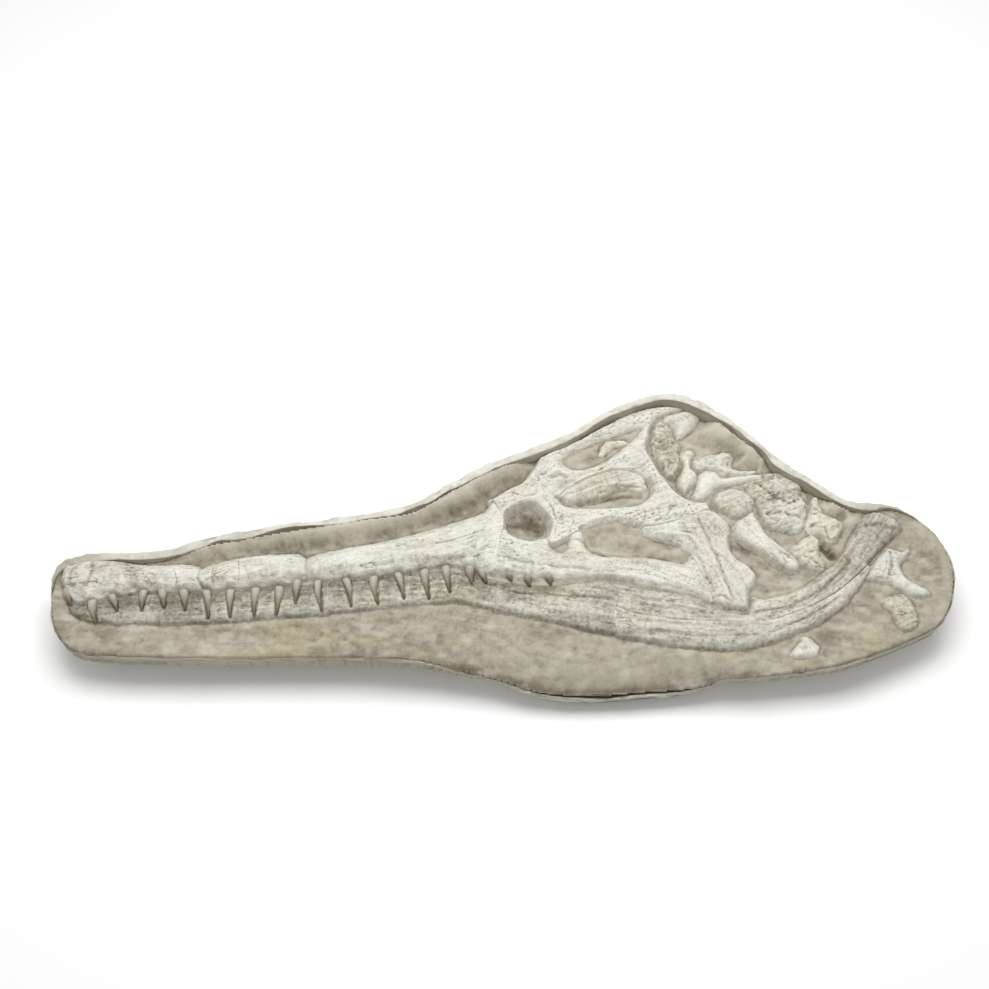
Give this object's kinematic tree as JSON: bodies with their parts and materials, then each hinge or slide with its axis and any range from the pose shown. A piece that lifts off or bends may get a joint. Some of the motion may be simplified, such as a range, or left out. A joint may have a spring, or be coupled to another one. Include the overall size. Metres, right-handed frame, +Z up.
{
  "type": "fossil dyrosaur skull",
  "caption": "Long-snouted fossil crocodile-like skull, lower jaw, teeth and neck vertebrae lying in a slab of sediment inside a plaster field jacket.",
  "frame": {"origin": "centre of the slab's bounding box, at the height of the surface it lies on", "axes": "+X from the snout to the neck, +Y from the lower jaw to the skull roof, +Z up out of the slab"},
  "size_m": [1.3996, 0.5126, 0.1161],
  "materials": {
    "plaster": "matt plaster and burlap, dusty",
    "sediment": "rough sandy phosphatic sediment",
    "bone": "matt cracked fossil bone"
  },
  "bodies": {
    "root": {"jacket": "plaster", "matrix": "sediment", "premaxilla": "bone", "nasal_fragment": "bone", "maxilla": "bone", "skull_roof": "bone", "jugal": "bone", "quadrate": "bone", "dentary": "bone", "surangular": "bone", "angular": "bone", "laterosphenoid": "bone", "fenestra_splint": "bone", "squamosal": "bone", "braincase": "bone", "atlas": "bone", "occipital_condyle": "bone", "axis_vertebra": "bone", "cervical_front": "bone", "cervical_middle": "bone", "cervical_rib": "bone", "cervical_rear": "bone", "neural_arch": "bone", "loose_vertebra": "bone", "rib_fragment": "bone", "splint_fragment": "bone"}
  },
  "joints": []
}
